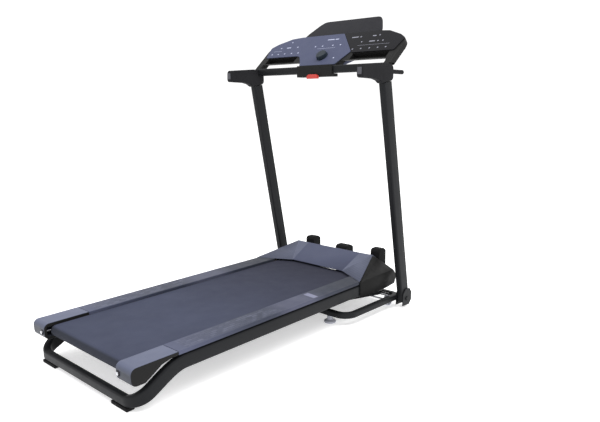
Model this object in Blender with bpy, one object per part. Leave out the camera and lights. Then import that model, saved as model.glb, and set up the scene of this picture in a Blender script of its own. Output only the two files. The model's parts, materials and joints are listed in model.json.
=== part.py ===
"""Compact folding treadmill, modelled as an assembly of separate pieces.

World frame: metres, +Z up, +Y towards the console, +X to the user's right.
The origin is on the floor, below the middle of the machine's bounding box.
The deck is drawn level in its own frame and stands at a slight slope; the mast
and the console are drawn along their own axes in the same way.
"""
from math import atan, atan2, cos, dist, pi, radians, sin, sqrt

import bmesh
import bpy
from mathutils import Matrix, Vector

# ---- driving dimensions -------------------------------------------------
CENTRE_Y = 0.7036            # deck rear end to the middle of the machine
GAP = 0.0003                 # clearance between pieces that touch
DECK_SLOPE = atan(0.0112)    # the deck rises slightly towards the hood

BELT_HALF = 0.225            # half of the 450 mm running belt
BELT_THICK = 0.0018
BELT_TOP = 0.141
ROLLER_R = 0.0185
ROLLER_Z = BELT_TOP - BELT_THICK - GAP - ROLLER_R
ROLLER_HALF = 0.230
REAR_ROLLER_Y = 0.0395
FRONT_ROLLER_Y = 1.175
AXLE_R = 0.006

DECK_HALF = 0.314            # outer edge of the foot rails
RAIL_TOP = 0.151
RAIL_UNDER = 0.1392
RAIL_INNER = 0.231
TUBE_X = 0.300               # centre of the side tubes
TUBE_W = 0.026
TUBE_H = 0.048
TUBE_Z = 0.109
TUBE_WALL = 0.002
TUBE_FRONT_Y = 1.300
BAR_H = 0.033                # the tube is pressed flatter where it crosses the floor
BAR_Y = 0.012
BAR_Z = 0.0287
SWOOP_START_Y = 0.195
CORNER_R = 0.050

HOOD_TIP_Y = 1.078
HOOD_EDGE_Y = 1.160
HOOD_EDGE_X = 0.152
RIDGE_Y = 1.282
RIDGE_Z = 0.212
RIDGE_X = 0.225
FACET_X = 0.159
HOOD_FRONT_Y = 1.334
SKIN = 0.0025

MOTOR_Y = 1.250
MOTOR_Z = 0.1212
PAN_TOP = 0.0806
ROLLER_PULLEY_R = 0.0325
MOTOR_PULLEY_R = 0.0125
PULLEY_X = (-0.2475, -0.2328)

SWITCH_Y = 1.3296            # rocker switch, beside the mains inlet
SWITCH_Z = 0.1389
SWITCH_THROW = radians(12)

BASE_X = 0.335               # centre of the floor frame's side tubes
BASE_W = 0.026
BASE_H = 0.025
BASE_Z = 0.0425
BASE_REAR_Y = 0.965
BASE_FRONT_Y = 1.336
FRONT_CORNER_R = 0.030
WHEEL_R = 0.0235
WHEEL_Y = 1.300

MAST_Y = 1.330               # mast hinge
MAST_Z = 0.042
MAST_LEAN = radians(10.83)
UPRIGHT_X = 0.368
UPRIGHT_W = 0.029
UPRIGHT_D = 0.054
UPRIGHT_TOP = 0.949          # along the mast, from the hinge
UPRIGHT_WALL = 0.0018
FOOT_REACH = 0.0275          # the rounded foot's radius about the hinge
MAST_PIN_R = 0.0050
HANDLE_W = 0.030

ARM_FRONT = (1.280, 0.0600)  # floor end of the incline arm
ARM_REAR = (0.980, 0.1010)   # deck end of the incline arm
ROD_R = 0.006

CONSOLE_Y = 1.161            # lower lip of the console
CONSOLE_Z = 1.056
CONSOLE_RISE = radians(41.76)  # slope of the panel above level
TRAY_FLOOR = 1.0715


# ---- scene --------------------------------------------------------------
for old in list(bpy.data.objects):
    bpy.data.objects.remove(old, do_unlink=True)


def material(name, colour, roughness, metallic=0.0):
    made = bpy.data.materials.new(name)
    made.use_nodes = True
    shader = made.node_tree.nodes["Principled BSDF"]
    shader.inputs["Base Color"].default_value = (*colour, 1.0)
    shader.inputs["Roughness"].default_value = roughness
    shader.inputs["Metallic"].default_value = metallic
    made.diffuse_color = (*colour, 1.0)
    return made


FRAME_BLACK = material("frame_black", (0.025, 0.026, 0.029), 0.42, 0.3)
PLASTIC_BLACK = material("plastic_black", (0.028, 0.028, 0.030), 0.55)
SLATE = material("slate_blue_plastic", (0.135, 0.145, 0.215), 0.48)
BELT_BLACK = material("belt_black", (0.060, 0.066, 0.085), 0.78)
BOARD = material("board", (0.090, 0.075, 0.060), 0.60)
STEEL = material("bright_steel", (0.62, 0.62, 0.64), 0.28, 1.0)
ALUMINIUM = material("aluminium", (0.50, 0.51, 0.53), 0.35, 1.0)
RUBBER = material("rubber", (0.020, 0.020, 0.021), 0.85)
GRIP = material("moulded_grip", (0.024, 0.024, 0.026), 0.80)
GLOSS_BLACK = material("gloss_black", (0.016, 0.016, 0.019), 0.12)
WHEEL_GREY = material("wheel_grey", (0.45, 0.46, 0.50), 0.50)
KEY_RED = material("key_red", (0.60, 0.045, 0.030), 0.40)
KNOB_NAVY = material("knob_navy", (0.018, 0.028, 0.042), 0.35)
CIRCUIT_GREEN = material("circuit_green", (0.030, 0.120, 0.060), 0.50)


def frame_at(name, y, z, turn=0.0, parent=None):
    """An empty that carries pieces: its X axis stays level, turned about X."""
    empty = bpy.data.objects.new(name, None)
    bpy.context.collection.objects.link(empty)
    place = Matrix.Translation((0.0, y - CENTRE_Y, z)) @ Matrix.Rotation(turn, 4, "X")
    if parent is not None:
        empty.parent = parent
        place = parent.matrix_world.inverted() @ place
    empty.matrix_local = place
    bpy.context.view_layer.update()
    return empty


FLOOR = frame_at("floor_frame", 0.0, 0.0)
ARM_TILT = atan2(ARM_REAR[1] - ARM_FRONT[1], ARM_FRONT[0] - ARM_REAR[0])
ARM = frame_at("arm_frame", *ARM_FRONT, -ARM_TILT, FLOOR)
DECK_HINGE = frame_at("deck_hinge", *ARM_REAR, 0.0, ARM)
DECK = frame_at("deck_frame", 0.0, 0.0, DECK_SLOPE, DECK_HINGE)
SWITCH = frame_at("switch_frame", SWITCH_Y, SWITCH_Z, -SWITCH_THROW / 2, DECK)
MAST = frame_at("mast_frame", MAST_Y, MAST_Z, MAST_LEAN, FLOOR)
HANDLES = frame_at("handle_frame", 0.0, 0.0, 0.0, MAST)
CONSOLE = frame_at("console_frame", CONSOLE_Y, CONSOLE_Z, CONSOLE_RISE, MAST)


def finish(name, mesh_data, look, frame, smooth=False):
    """Turns a bmesh into a named object that hangs on a frame."""
    bmesh.ops.recalc_face_normals(mesh_data, faces=mesh_data.faces)
    mesh = bpy.data.meshes.new(name)
    mesh_data.to_mesh(mesh)
    mesh_data.free()
    if smooth:
        mesh.shade_smooth()
        mesh.set_sharp_from_angle(angle=radians(40))
    piece = bpy.data.objects.new(name, mesh)
    piece.parent = frame
    if look is not None:
        mesh.materials.append(look)
    bpy.context.collection.objects.link(piece)
    return piece


def bevelled(piece, width, segments=1):
    if width:
        edge = piece.modifiers.new("edges", "BEVEL")
        edge.width = width
        edge.segments = segments
        edge.limit_method = "ANGLE"
        edge.angle_limit = radians(35)
    return piece


AXES = {"X": (1, 2, 0), "Y": (0, 2, 1), "Z": (0, 1, 2)}


def at(axis, first, second, along):
    """A point from its two outline values and its value along the axis."""
    point = [0.0, 0.0, 0.0]
    for index, value in zip(AXES[axis], (first, second, along)):
        point[index] = value
    return point


def prism(name, outline, axis, low, high, look, frame, bevel=0.0, smooth=False):
    """An outline carried straight along an axis."""
    made = bmesh.new()
    ends = [[made.verts.new(at(axis, a, b, along)) for a, b in outline] for along in (low, high)]
    made.faces.new(ends[0])
    made.faces.new(ends[1])
    for i in range(len(outline)):
        j = (i + 1) % len(outline)
        made.faces.new((ends[0][i], ends[0][j], ends[1][j], ends[1][i]))
    return bevelled(finish(name, made, look, frame, smooth), bevel)


def box(name, low, high, look, frame, bevel=0.0):
    outline = [(low[0], low[1]), (high[0], low[1]), (high[0], high[1]), (low[0], high[1])]
    return prism(name, outline, "Z", low[2], high[2], look, frame, bevel)


def band(name, outer, inner, axis, low, high, look, frame):
    """A closed strip between two outlines with the same number of points."""
    made = bmesh.new()
    rings = []
    for outline, along in ((outer, low), (outer, high), (inner, high), (inner, low)):
        rings.append([made.verts.new(at(axis, a, b, along)) for a, b in outline])
    for near, far in zip(rings, rings[1:] + rings[:1]):
        for i in range(len(outer)):
            j = (i + 1) % len(outer)
            made.faces.new((near[i], near[j], far[j], far[i]))
    return finish(name, made, look, frame, smooth=True)


def turned(name, profile, centre, axis, look, frame, sides=20, ring=False):
    """A profile of (along, radius) points spun about an axis through a centre.

    The piece's origin is that centre, so it turns about its own axis. A solid's
    profile starts and ends on the axis; a ring's profile is closed.
    """
    made = bmesh.new()
    first, second, along_axis = AXES[axis]

    def vertex(along, radius, turn):
        point = [0.0, 0.0, 0.0]
        point[first] = radius * cos(turn)
        point[second] = radius * sin(turn)
        point[along_axis] = along
        return made.verts.new(point)

    loops = []
    for along, radius in profile:
        if radius == 0.0:
            loops.append([vertex(along, 0.0, 0.0)] * sides)
        else:
            loops.append([vertex(along, radius, 2 * pi * k / sides - pi / 2) for k in range(sides)])
    pairs = list(zip(loops, loops[1:]))
    if ring:
        pairs.append((loops[-1], loops[0]))
    for near, far in pairs:
        for i in range(sides):
            j = (i + 1) % sides
            corners = [near[i], near[j], far[j], far[i]]
            unique = [v for n, v in enumerate(corners) if v not in corners[:n]]
            if len(unique) > 2:
                made.faces.new(unique)
    piece = finish(name, made, look, frame, smooth=True)
    piece.location = centre
    return piece


def rod(name, low, high, centre, radius, axis, look, frame, sides=16):
    profile = [(low, 0.0), (low, radius), (high, radius), (high, 0.0)]
    return turned(name, profile, centre, axis, look, frame, sides)


def sleeve(name, low, high, centre, outer, inner, axis, look, frame, sides=20):
    profile = [(low, outer), (high, outer), (high, inner), (low, inner)]
    return turned(name, profile, centre, axis, look, frame, sides, ring=True)


def section(width, height, corner):
    """A rectangle with cut corners, as eight points round its middle."""
    w, h = width / 2, height / 2
    return [(w, -h + corner), (w, h - corner), (w - corner, h), (corner - w, h),
            (-w, h - corner), (-w, corner - h), (corner - w, -h), (w - corner, -h)]


def bent_tube(name, path, look, frame, wall=TUBE_WALL):
    """A hollow tube of cut-corner section, open at both ends.

    Each path entry is (point, width, height); the section stays upright.
    """
    made = bmesh.new()
    points = [Vector(entry[0]) for entry in path]
    stations = []
    for i, (point, width, height) in enumerate(path):
        before = points[max(i - 1, 0)]
        after = points[min(i + 1, len(points) - 1)]
        ahead = (after - before).normalized()
        across = ahead.cross(Vector((0.0, 0.0, 1.0))).normalized()
        up = across.cross(ahead)
        loops = []
        for w, h, corner in ((width, height, 0.006), (width - 2 * wall, height - 2 * wall, 0.0045)):
            spots = [Vector(point) + across * a + up * b for a, b in section(w, h, corner)]
            loops.append([made.verts.new(spot) for spot in spots])
        stations.append(loops)
    for near, far in zip(stations, stations[1:]):
        for shell in (0, 1):
            for i in range(8):
                j = (i + 1) % 8
                made.faces.new((near[shell][i], near[shell][j], far[shell][j], far[shell][i]))
    for outer, inner in (stations[0], stations[-1]):
        for i in range(8):
            j = (i + 1) % 8
            made.faces.new((outer[i], outer[j], inner[j], inner[i]))
    return finish(name, made, look, frame, smooth=True)


def shell(name, corners, faces, look, frame):
    """A thin moulding: its outer skin, thickened inwards."""
    made = bmesh.new()
    spots = [made.verts.new(corner) for corner in corners]
    for face in faces:
        made.faces.new([spots[i] for i in face])
    piece = finish(name, made, look, frame)
    thick = piece.modifiers.new("skin", "SOLIDIFY")
    thick.thickness = SKIN
    thick.offset = -1.0
    return piece


def combine(piece, helper, operation):
    helper.hide_render = True
    helper.display_type = "WIRE"
    change = piece.modifiers.new(helper.name, "BOOLEAN")
    change.operation = operation
    change.object = helper
    return piece


def cut(piece, cutter):
    """Takes the cutter's shape out of a piece."""
    return combine(piece, cutter, "DIFFERENCE")


def join(piece, addition):
    """Welds another shape onto a piece."""
    return combine(piece, addition, "UNION")


def arc(centre_a, centre_b, radius, start, end, steps):
    """Points on an arc, its angles in degrees."""
    angles = [radians(start + (end - start) * k / steps) for k in range(steps + 1)]
    return [(centre_a + radius * cos(t), centre_b + radius * sin(t)) for t in angles]


def loop_round(first, first_r, second, second_r, steps):
    """The outline of a belt round two circles; first is the one at lower Y."""
    gap_a, gap_b = second[0] - first[0], second[1] - first[1]
    distance = sqrt(gap_a ** 2 + gap_b ** 2)
    heading = atan2(gap_b, gap_a)
    lean = atan2(sqrt(distance ** 2 - (first_r - second_r) ** 2), first_r - second_r)
    upper, lower = heading + lean, heading - lean
    deg = 180 / pi
    near = arc(first[0], first[1], first_r, upper * deg, (lower + 2 * pi) * deg, steps)
    far = arc(second[0], second[1], second_r, lower * deg, upper * deg, steps)
    return near + far


def sides():
    return (("left", -1.0), ("right", 1.0))


# ---- deck: frame --------------------------------------------------------
def side_tube_path():
    """Down one side, round the rear floor bar and up the other side."""
    quarter = CORNER_R * pi / 2
    straight = SWOOP_START_Y - (BAR_Y + CORNER_R)
    run = straight + quarter
    plan = [(TUBE_X, TUBE_FRONT_Y, 0.0), (TUBE_X, 0.62, 0.0), (TUBE_X, SWOOP_START_Y, 0.0)]
    steps = 7
    for k in range(1, steps + 1):
        plan.append((TUBE_X, SWOOP_START_Y - straight * k / steps, straight * k / steps / run))
    for k in range(1, 6):
        turn = pi / 2 * k / 5
        plan.append((TUBE_X - CORNER_R * (1 - cos(turn)), BAR_Y + CORNER_R * (1 - sin(turn)),
                     (straight + CORNER_R * turn) / run))
    half = []
    for x, y, fall in plan:
        eased = fall ** 2 * (3 - 2 * fall)
        flat = max(0.0, (fall - 0.45) / 0.55) ** 2
        half.append(((x, y, TUBE_Z + (BAR_Z - TUBE_Z) * eased), TUBE_W, TUBE_H + (BAR_H - TUBE_H) * flat))
    mirrored = [((-x, y, z), w, h) for (x, y, z), w, h in reversed(half)]
    return half + mirrored


def deck_frame_pieces():
    bent_tube("main_frame", side_tube_path(), FRAME_BLACK, DECK)
    inner = TUBE_X - TUBE_W / 2 - GAP
    for place, y in (("rear", 0.300), ("front", 0.885)):
        box(f"deck_cross_tube_{place}", (-inner, y - 0.015, 0.1030), (inner, y + 0.015, 0.1180),
            FRAME_BLACK, DECK)
    for side, sign in sides():
        low, high = sorted((sign * 0.238, sign * 0.262))
        box(f"cushion_{side}", (low, 0.285, 0.1183), (high, 0.900, 0.1232), RUBBER, DECK)
    box("running_board", (-0.276, 0.070, 0.1235), (0.276, 1.140, 0.1385), BOARD, DECK)


def belt_and_rollers():
    rear, front = (REAR_ROLLER_Y, ROLLER_Z), (FRONT_ROLLER_Y, ROLLER_Z)
    inner_r = ROLLER_R + GAP
    band("running_belt", loop_round(rear, inner_r + BELT_THICK, front, inner_r + BELT_THICK, 10),
         loop_round(rear, inner_r, front, inner_r, 10), "X", -BELT_HALF, BELT_HALF, BELT_BLACK, DECK)
    for place, y in (("rear", REAR_ROLLER_Y), ("front", FRONT_ROLLER_Y)):
        sleeve(f"{place}_roller", -ROLLER_HALF, ROLLER_HALF, (0.0, y, ROLLER_Z), ROLLER_R,
               AXLE_R + GAP, "X", ALUMINIUM, DECK)
    rod("rear_axle", -0.252, 0.252, (0.0, REAR_ROLLER_Y, ROLLER_Z), AXLE_R, "X", STEEL, DECK)
    rod("front_axle", -0.2865, 0.2865, (0.0, FRONT_ROLLER_Y, ROLLER_Z), AXLE_R, "X", STEEL, DECK)


def drive():
    low, high = PULLEY_X
    sleeve("roller_pulley", low, high, (0.0, FRONT_ROLLER_Y, ROLLER_Z), ROLLER_PULLEY_R,
           AXLE_R + GAP, "X", ALUMINIUM, DECK, sides=24)
    sleeve("motor_body", -0.200, -0.060, (0.0, MOTOR_Y, MOTOR_Z), 0.040, AXLE_R + GAP, "X",
           FRAME_BLACK, DECK, sides=24)
    rotor = [(low, 0.0), (low, MOTOR_PULLEY_R), (high, MOTOR_PULLEY_R), (high, AXLE_R),
             (-0.045, AXLE_R), (-0.045, 0.036), (-0.025, 0.036), (-0.025, 0.0)]
    turned("motor_rotor", rotor, (0.0, MOTOR_Y, MOTOR_Z), "X", STEEL, DECK, sides=24)
    rear, front = (FRONT_ROLLER_Y, ROLLER_Z), (MOTOR_Y, MOTOR_Z)
    outer = loop_round(rear, ROLLER_PULLEY_R + 0.0025, front, MOTOR_PULLEY_R + 0.0025, 10)
    inner = loop_round(rear, ROLLER_PULLEY_R + 0.0008, front, MOTOR_PULLEY_R + 0.0008, 10)
    band("drive_belt", outer, inner, "X", low + 0.001, high - 0.001, RUBBER, DECK)
    box("controller_board", (0.030, 1.225, PAN_TOP + GAP), (0.140, 1.308, 0.1080), CIRCUIT_GREEN, DECK)
    box("lift_motor", (0.165, 1.232, PAN_TOP + GAP), (0.235, 1.300, 0.1560), FRAME_BLACK, DECK, 0.006)


# ---- deck: covers -------------------------------------------------------
def hood():
    edge, tip, facet, ridge = HOOD_EDGE_X, DECK_HALF - 0.0005, FACET_X, RIDGE_X
    half = [(edge, HOOD_EDGE_Y, RAIL_TOP), (tip, HOOD_TIP_Y, RAIL_TOP), (facet, RIDGE_Y, RIDGE_Z),
            (ridge, RIDGE_Y, RIDGE_Z), (facet, 1.325, 0.188), (ridge, 1.325, 0.188),
            (facet, HOOD_FRONT_Y, 0.100), (ridge, HOOD_FRONT_Y, 0.100)]
    corners = half + [(-x, y, z) for x, y, z in half]
    right = [(0, 1, 3), (0, 3, 2), (2, 3, 5, 4), (4, 5, 7, 6)]
    left = [tuple(i + 8 for i in reversed(face)) for face in right]
    middle = [(8, 0, 2, 10), (10, 2, 4, 12), (12, 4, 6, 14)]
    piece = shell("hood", corners, right + left + middle, SLATE, DECK)
    cut(piece, box("inlet_hole", (-0.1165, 1.30, 0.1105), (-0.0545, 1.36, 0.1375), None, DECK))


def side_cover(side, sign):
    """The dark panel outside the frame tube, below the hood's flank."""
    out, inn = 0.3180, 0.2278
    points = [(out, HOOD_TIP_Y, 0.1500), (inn, 1.2835, 0.2105), (inn, 1.3265, 0.1865),
              (out, 1.3250, 0.1500), (out, 1.3500, 0.1200), (out, 1.3350, 0.0860),
              (out, 1.2700, 0.0790), (out, HOOD_TIP_Y, 0.0790), (inn, 1.3420, 0.1250),
              (inn, 1.3380, 0.0900)]
    faces = [(0, 7, 6, 5, 4, 3), (0, 3, 2, 1), (3, 4, 8, 2), (4, 5, 9, 8)]
    corners = [(sign * x, y, z) for x, y, z in points]
    shell(f"side_cover_{side}", corners, faces, PLASTIC_BLACK, DECK)


def end_cap(side, sign):
    """The rounded rear end of a foot rail, open inside for the roller's axle."""
    outline = arc(0.018, RAIL_TOP - 0.020, 0.020, 90, 180, 3)
    outline += arc(0.018, 0.112, 0.020, 180, 270, 3)
    outline += [(0.045, 0.0920), (0.070, 0.1070), (0.105, 0.1290), (0.140, 0.1375), (0.165, 0.1385),
                (0.165, RAIL_TOP)]
    outer, inner = DECK_HALF - 0.0003, RAIL_INNER
    low, high = sorted((sign * inner, sign * outer))
    piece = prism(f"end_cap_{side}", outline, "X", low, high, SLATE, DECK)
    low, high = sorted((sign * 0.220, sign * 0.280))
    cut(piece, box(f"axle_pocket_{side}", (low, 0.008, 0.1035), (high, 0.180, 0.1390), None, DECK))
    hole = rod(f"bolt_hole_{side}", -0.010, 0.020, (sign * 0.246, 0.0, 0.1204), 0.0034, "Y", None, DECK,
               sides=12)
    cut(piece, hole)
    head = [(-0.0075, 0.0), (-0.0075, 0.0060), (-0.0023, 0.0060), (-0.0023, 0.0030), (0.0330, 0.0030),
            (0.0330, 0.0)]
    turned(f"tension_bolt_{side}", head, (sign * 0.246, 0.0, 0.1204), "Y", STEEL, DECK, sides=12)


def foot_rail(side, sign):
    """The anti-slip rail: a flat top with a lip outside the frame tube."""
    y_low, y_high = 0.1655, 1.0745
    outline = [(RAIL_INNER, RAIL_UNDER), (RAIL_INNER, RAIL_TOP - 0.001), (RAIL_INNER + 0.001, RAIL_TOP),
               (DECK_HALF - 0.003, RAIL_TOP), (DECK_HALF, RAIL_TOP - 0.003), (DECK_HALF, RAIL_UNDER)]
    slant = (RAIL_INNER - HOOD_EDGE_X) / (DECK_HALF - HOOD_EDGE_X)
    inner_high = HOOD_EDGE_Y + (HOOD_TIP_Y - HOOD_EDGE_Y) * slant - 0.0035
    piece = prism(f"foot_rail_{side}", [(sign * x, z) for x, z in outline], "Y", y_low, inner_high,
                  SLATE, DECK)
    wedge = [(sign * (DECK_HALF + 0.02), y_high - 0.0101), (sign * (DECK_HALF + 0.02), 1.20),
             (sign * (RAIL_INNER - 0.001), 1.20), (sign * (RAIL_INNER - 0.001), inner_high + 0.0005)]
    cut(piece, prism(f"rail_mitre_{side}", wedge, "Z", 0.12, 0.17, None, DECK))


def deck_covers():
    hood()
    box("belly_pan", (-0.255, 1.105, 0.0776), (0.255, 1.331, PAN_TOP), PLASTIC_BLACK, DECK)
    for side, sign in sides():
        side_cover(side, sign)
        end_cap(side, sign)
        foot_rail(side, sign)
        low, high = sorted((sign * 0.183, sign * 0.272))
        box(f"rear_foot_{side}", (low, -0.0025, 0.0), (high, 0.0265, 0.0118), RUBBER, FLOOR, 0.003)
    storage = [(0.100, 1.3365), (0.215, 1.3365), (0.225, 1.3460), (0.225, 1.3800), (0.214, 1.3950),
               (0.100, 1.3950)]
    for place, middle, half in (("left", -0.202, 0.025), ("middle", 0.0, 0.034), ("right", 0.202, 0.025)):
        lift = 0.014 if place == "middle" else 0.0
        outline = [(y, z - lift if z > 0.15 else z) for z, y in storage]
        prism(f"storage_foot_{place}", outline, "X", middle - half, middle + half, RUBBER, DECK, 0.003)


def mains():
    inlet = box("power_inlet", (-0.1155, 1.3120, 0.1115), (-0.0865, 1.3360, 0.1365), PLASTIC_BLACK, DECK)
    cut(inlet, box("inlet_socket", (-0.1125, 1.3220, 0.1150), (-0.0895, 1.34, 0.1330), None, DECK))
    rocker = [(-0.0040, -0.0100), (0.0065, -0.0100), (0.0045, 0.0), (0.0065, 0.0100), (-0.0040, 0.0100)]
    prism("power_switch", rocker, "X", -0.0750, -0.0560, PLASTIC_BLACK, SWITCH)


# ---- floor frame and incline arm ----------------------------------------
def base_path():
    """One tube bent into a rectangle; its ends meet at a hairline seam at the front."""
    seam = [(GAP / 2, BASE_FRONT_Y)]
    front = arc(BASE_X - FRONT_CORNER_R, BASE_FRONT_Y - FRONT_CORNER_R, FRONT_CORNER_R, 90, 0, 4)
    rear = arc(BASE_X - CORNER_R, BASE_REAR_Y + CORNER_R, CORNER_R, 0, -90, 5)
    half = [((x, y, BASE_Z), BASE_W, BASE_H) for x, y in seam + front + rear]
    return half + [((-x, y, z), w, h) for (x, y, z), w, h in reversed(half)]


def mast_bracket(side, sign):
    """A channel round the upright's foot, open to the rear so that the mast can fold."""
    inner, outer, sheet = 0.3484, 0.3882, 0.0040
    outline = [(1.300, 0.012), (1.350, 0.010), (1.368, 0.030), (1.368, 0.066), (1.352, 0.086),
               (1.318, 0.086), (1.300, 0.066)]
    low, high = sorted((sign * inner, sign * outer))
    piece = prism(f"mast_bracket_{side}", outline, "X", low, high, FRAME_BLACK, FLOOR)
    low, high = sorted((sign * (inner + sheet), sign * (outer - sheet)))
    slot = box(f"bracket_slot_{side}", (low, 1.28, 0.0), (high, 1.3640, 0.12), None, FLOOR)
    cut(piece, slot)
    low, high = sorted((sign * 0.340, sign * 0.400))
    hole = rod(f"pin_hole_{side}", low, high, (0.0, MAST_Y, MAST_Z), MAST_PIN_R + GAP, "X", None, FLOOR,
               sides=12)
    cut(piece, hole)
    if side == "left":
        bore = rod("plunger_bore", 1.355, 1.375, (sign * UPRIGHT_X, 0.0, 0.058), 0.0048, "Y", None, FLOOR,
                   sides=16)
        cut(piece, bore)
    pin = [(0.3484, 0.0), (0.3484, MAST_PIN_R), (0.3884, MAST_PIN_R), (0.3884, 0.0105),
           (0.3930, 0.0090), (0.3930, 0.0)]
    turned(f"mast_pin_{side}", [(sign * x, r) for x, r in pin], (0.0, MAST_Y, MAST_Z), "X", STEEL,
           FLOOR, sides=12)


def floor_frame():
    bent_tube("base_frame", base_path(), FRAME_BLACK, FLOOR)
    inner = BASE_X - BASE_W / 2 - GAP
    rod("base_pivot_rod", -inner, inner, (0.0, *ARM_FRONT), ROD_R, "X", STEEL, FLOOR, sides=12)
    rod("wheel_axle", -inner, inner, (0.0, WHEEL_Y, WHEEL_R), 0.004, "X", STEEL, FLOOR, sides=12)
    foot = [(0.0, 0.0), (0.0, 0.0255), (0.009, 0.0255), (0.013, 0.0120), (0.0297, 0.0120), (0.0297, 0.0)]
    wheel = [(-0.011, WHEEL_R - 0.002), (-0.009, WHEEL_R), (0.009, WHEEL_R), (0.011, WHEEL_R - 0.002),
             (0.011, 0.0043), (-0.011, 0.0043)]
    for side, sign in sides():
        mast_bracket(side, sign)
        turned(f"base_foot_{side}", foot, (sign * 0.245, BASE_REAR_Y, 0.0), "Z", WHEEL_GREY, FLOOR)
        turned(f"transport_wheel_{side}", wheel, (sign * 0.305, WHEEL_Y, WHEEL_R), "X", WHEEL_GREY,
               FLOOR, ring=True)


def lock_plunger():
    """The sprung pin that holds the mast up, with its knob in front of the left bracket."""
    spot = (-UPRIGHT_X, 0.0, 0.058)
    profile = [(1.3620, 0.0), (1.3620, 0.0045), (1.3684, 0.0045), (1.3684, 0.0095), (1.3880, 0.0110),
               (1.3900, 0.0090), (1.3900, 0.0)]
    turned("lock_plunger", profile, spot, "Y", PLASTIC_BLACK, FLOOR, sides=16)


def lift_arm():
    """A forked plate frame: its front eyes turn on the floor frame, its rear rod carries the deck."""
    length = dist(ARM_FRONT, ARM_REAR)
    eye = 0.0110
    bar_in, bar_out, link_front, link_rear = 0.262, 0.282, -0.120, -0.150
    plan = [(bar_out, eye), (bar_in, eye), (bar_in, link_front), (-bar_in, link_front), (-bar_in, eye),
            (-bar_out, eye), (-bar_out, -length - eye), (-bar_in, -length - eye), (-bar_in, link_rear),
            (bar_in, link_rear), (bar_in, -length - eye), (bar_out, -length - eye)]
    piece = prism("lift_arm", plan, "Z", -0.0090, 0.0090, FRAME_BLACK, ARM)
    cut(piece, rod("front_eyes", -0.30, 0.30, (0.0, 0.0, 0.0), ROD_R + GAP, "X", None, ARM, sides=12))
    half = TUBE_X - TUBE_W / 2 - GAP
    join(piece, rod("deck_pivot_rod", -half, half, (0.0, -length, 0.0), ROD_R, "X", None, ARM, sides=12))


# ---- mast ---------------------------------------------------------------
def upright(side, sign):
    """A post of hollow rectangular tube, its foot rounded about the mast hinge."""
    made = bmesh.new()
    rings = []
    for wall, corner in ((0.0, 0.006), (UPRIGHT_WALL, 0.0045)):
        outline = section(UPRIGHT_W - 2 * wall, UPRIGHT_D - 2 * wall, corner)
        foot = [(x, y, -0.9 * sqrt(FOOT_REACH ** 2 - (0.95 * y) ** 2) - 0.001) for x, y in outline]
        head = [(x, y, UPRIGHT_TOP) for x, y in outline]
        for ring in (foot, head):
            rings.append([made.verts.new((sign * UPRIGHT_X + x, y, z)) for x, y, z in ring])
    for near, far in ((0, 1), (2, 3), (0, 2), (1, 3)):
        for i in range(8):
            j = (i + 1) % 8
            made.faces.new((rings[near][i], rings[near][j], rings[far][j], rings[far][i]))
    piece = finish(f"upright_{side}", made, FRAME_BLACK, MAST, smooth=True)
    low, high = sorted((sign * 0.345, sign * 0.390))
    cut(piece, rod(f"upright_hole_{side}", low, high, (0.0, 0.0, 0.0), MAST_PIN_R + GAP, "X", None, MAST,
                   sides=12))


def handlebar(side, sign):
    """The side handle: a deep bar that runs into a hub on top of the upright."""
    outline = [(0.9880, 0.9868), (1.0700, 0.9850), (1.0990, 0.9790), (1.1160, 0.9685), (1.1240, 0.9700),
               (1.1790, 0.9805), (1.1880, 0.9900), (1.1880, 1.0300), (1.1760, 1.0470), (1.1200, 1.0465),
               (0.9910, 1.0360), (0.9850, 1.0260), (0.9840, 0.9960)]
    low, high = sorted((sign * (UPRIGHT_X - HANDLE_W / 2), sign * (UPRIGHT_X + HANDLE_W / 2)))
    piece = prism(f"handlebar_{side}", outline, "X", low, high, GRIP, HANDLES, 0.005)
    if side == "right":
        join(piece, rod("stay_peg", 1.1600, 1.2700, (sign * UPRIGHT_X, 0.0, 1.0160), 0.0085, "Y", None,
                        HANDLES, sides=12))


def mast():
    inner = UPRIGHT_X - HANDLE_W / 2 - GAP
    for side, sign in sides():
        upright(side, sign)
        handlebar(side, sign)
    bar = [((x, 1.165, 1.0335), 0.028, 0.032) for x in (-inner, inner)]
    bent_tube("crossbar", bar, FRAME_BLACK, HANDLES)
    profile = [(1.1435, 1.0040), (1.1850, 1.0040), (1.1850, 1.0165), (1.1505, 1.0165), (1.1505, 1.0520),
               (1.1435, 1.0520)]
    prism("key_housing", profile, "X", -0.100, 0.100, PLASTIC_BLACK, HANDLES)
    key = [(-0.030, 0.9960), (0.030, 0.9960), (0.030, 1.0080), (0.020, 1.0140), (-0.020, 1.0140),
           (-0.030, 1.0080)]
    prism("safety_key", key, "Y", 1.1290, 1.1432, KEY_RED, HANDLES)


# ---- console ------------------------------------------------------------
# In the console's frame, x is across, y is up the panel and z is out of it towards the user.
def mirrored(half):
    return half + [(-x, y) for x, y in reversed(half)]


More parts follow.
